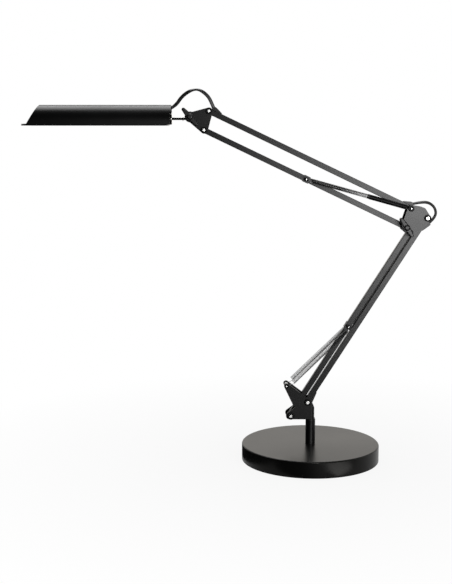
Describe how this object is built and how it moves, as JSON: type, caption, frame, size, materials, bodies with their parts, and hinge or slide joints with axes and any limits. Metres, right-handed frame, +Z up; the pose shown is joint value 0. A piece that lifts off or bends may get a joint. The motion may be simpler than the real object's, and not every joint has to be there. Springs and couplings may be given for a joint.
{
  "type": "architect desk lamp",
  "caption": "Balanced-arm desk lamp on a heavy round base: sprung parallelogram arms, a turning turret and a long half-round head for a compact tube lamp.",
  "frame": {"origin": "centre of the base's underside, on the post's axis", "axes": "+Z up; the arms move in the XZ plane and the head points to -X; the clamping knobs face -Y"},
  "size_m": [0.5895, 0.2, 0.536],
  "materials": {
    "black_enamel": "satin black powder paint",
    "base_enamel": "smooth satin black stove enamel",
    "bright_zinc": "bright zinc plate on turned steel",
    "chrome": "polished",
    "spring_steel": "oil-blackened drawn wire",
    "black_plastic": "fine matt moulding",
    "gloss_black_plastic": "smooth moulding",
    "nylon": "turned black nylon",
    "white_plastic": "smooth moulding",
    "lamp_glass": "white coated tube",
    "reflector_white": "gloss white lacquer",
    "iron": "as cast",
    "pad_foam": "dense foam sheet",
    "cord_sheath": "smooth flexible sheath"
  },
  "bodies": {
    "base": {"base_cover": "base_enamel", "base_weight": "iron", "base_pad": "pad_foam", "post": "black_enamel", "post_nut": "bright_zinc", "post_bush": "nylon"},
    "turret": {"spindle": "black_enamel", "turret_bracket": "black_enamel", "ear_studs": "bright_zinc", "shoulder_bolts": "bright_zinc", "shoulder_nuts": "bright_zinc", "shoulder_spacers": "black_plastic"},
    "lower_right": {"lower_right_bar": "black_enamel", "lower_right_plugs": "black_plastic", "lower_cable_cowls": "black_plastic"},
    "lower_left": {"lower_left_bar": "black_enamel", "lower_left_plugs": "black_plastic", "lower_spring_clip": "black_enamel", "lower_clip_pin": "bright_zinc", "lower_spring_front": "spring_steel", "lower_spring_rear": "spring_steel"},
    "elbow": {"elbow_plate_front": "black_enamel", "elbow_plate_rear": "black_enamel", "elbow_bolts": "bright_zinc", "elbow_nuts": "bright_zinc", "elbow_spacers": "black_plastic", "elbow_clamp_bolt": "bright_zinc", "elbow_cord": "cord_sheath"},
    "elbow_knob": {"elbow_wing_knob": "black_plastic"},
    "forearm_upper": {"forearm_upper_bar": "black_enamel", "forearm_upper_plugs": "black_plastic", "forearm_cable_cowls": "black_plastic"},
    "forearm_lower": {"forearm_lower_bar": "black_enamel", "forearm_lower_plugs": "black_plastic", "forearm_spring_clip": "black_enamel", "forearm_clip_pin": "bright_zinc", "forearm_spring_front": "spring_steel", "forearm_spring_rear": "spring_steel"},
    "head_bracket": {"head_plate_front": "black_enamel", "head_plate_rear": "black_enamel", "head_bolts": "bright_zinc", "head_nuts": "bright_zinc", "head_spacers": "black_plastic", "tilt_bolt": "bright_zinc", "head_cord": "cord_sheath"},
    "head_knob": {"head_wing_knob": "black_plastic"},
    "stem": {"pivot_block": "black_enamel", "stem_rod": "chrome", "swivel_collar": "chrome"},
    "head": {"shade": "black_enamel", "shade_rim": "black_enamel", "end_cap": "black_plastic", "end_cap_screws": "bright_zinc", "reflector": "reflector_white", "lampholder": "white_plastic", "lamp_tubes": "lamp_glass", "lamp_cap": "white_plastic", "switch_housing": "gloss_black_plastic", "cord_gland": "black_plastic"},
    "rocker": {"switch_rocker": "gloss_black_plastic"}
  },
  "joints": [
    {"name": "turret_yaw", "type": "hinge", "parent": "base", "child": "turret", "pos_m": [0, 0, 0.0599], "axis": [0, 0, 1], "range_deg": [-170, 170]},
    {"name": "lower_arm_lift", "type": "hinge", "parent": "turret", "child": "lower_right", "pos_m": [-0.0051, 0, 0.087], "axis": [0, -1, 0], "range_deg": [-1, 45], "deforming": ["lower_spring_front", "lower_spring_rear"]},
    {"name": "lower_link", "type": "hinge", "parent": "turret", "child": "lower_left", "pos_m": [-0.02928, 0, 0.06688], "axis": [0, -1, 0], "range_deg": [-1, 45]},
    {"name": "elbow_level", "type": "hinge", "parent": "lower_right", "child": "elbow", "pos_m": [0.16246, 0, 0.35433], "axis": [0, -1, 0], "range_deg": [-45, 1]},
    {"name": "elbow_knob_turn", "type": "hinge", "parent": "elbow", "child": "elbow_knob", "pos_m": [0.13184, 0, 0.34152], "axis": [0, -1, 0], "range_deg": [0, 360]},
    {"name": "forearm_lift", "type": "hinge", "parent": "elbow", "child": "forearm_upper", "pos_m": [0.13876, 0, 0.36793], "axis": [0, -1, 0], "range_deg": [-45, 55], "deforming": ["forearm_spring_front", "forearm_spring_rear", "elbow_cord"]},
    {"name": "forearm_link", "type": "hinge", "parent": "elbow", "child": "forearm_lower", "pos_m": [0.13184, 0, 0.34152], "axis": [0, -1, 0], "range_deg": [-45, 55]},
    {"name": "head_level", "type": "hinge", "parent": "forearm_upper", "child": "head_bracket", "pos_m": [-0.14727, 0, 0.50435], "axis": [0, -1, 0], "range_deg": [-55, 45]},
    {"name": "head_knob_turn", "type": "hinge", "parent": "head_bracket", "child": "head_knob", "pos_m": [-0.17397, 0, 0.49625], "axis": [0, -1, 0], "range_deg": [0, 360]},
    {"name": "head_tilt", "type": "hinge", "parent": "head_bracket", "child": "stem", "pos_m": [-0.17397, 0, 0.49625], "axis": [0, -1, 0], "range_deg": [-70, 60], "deforming": ["head_cord"]},
    {"name": "head_roll", "type": "hinge", "parent": "stem", "child": "head", "pos_m": [-0.20457, 0, 0.49395], "axis": [1, 0, 0], "range_deg": [-90, 90]},
    {"name": "rocker_tilt", "type": "hinge", "parent": "head", "child": "rocker", "pos_m": [-0.20682, 0.014, 0.49455], "axis": [0, -1, 0], "range_deg": [-6, 6]}
  ],
  "couplings": [
    {"joint": "lower_link", "follows": "lower_arm_lift", "ratio": 1},
    {"joint": "elbow_level", "follows": "lower_arm_lift", "ratio": -1},
    {"joint": "forearm_link", "follows": "forearm_lift", "ratio": 1},
    {"joint": "head_level", "follows": "forearm_lift", "ratio": -1}
  ]
}
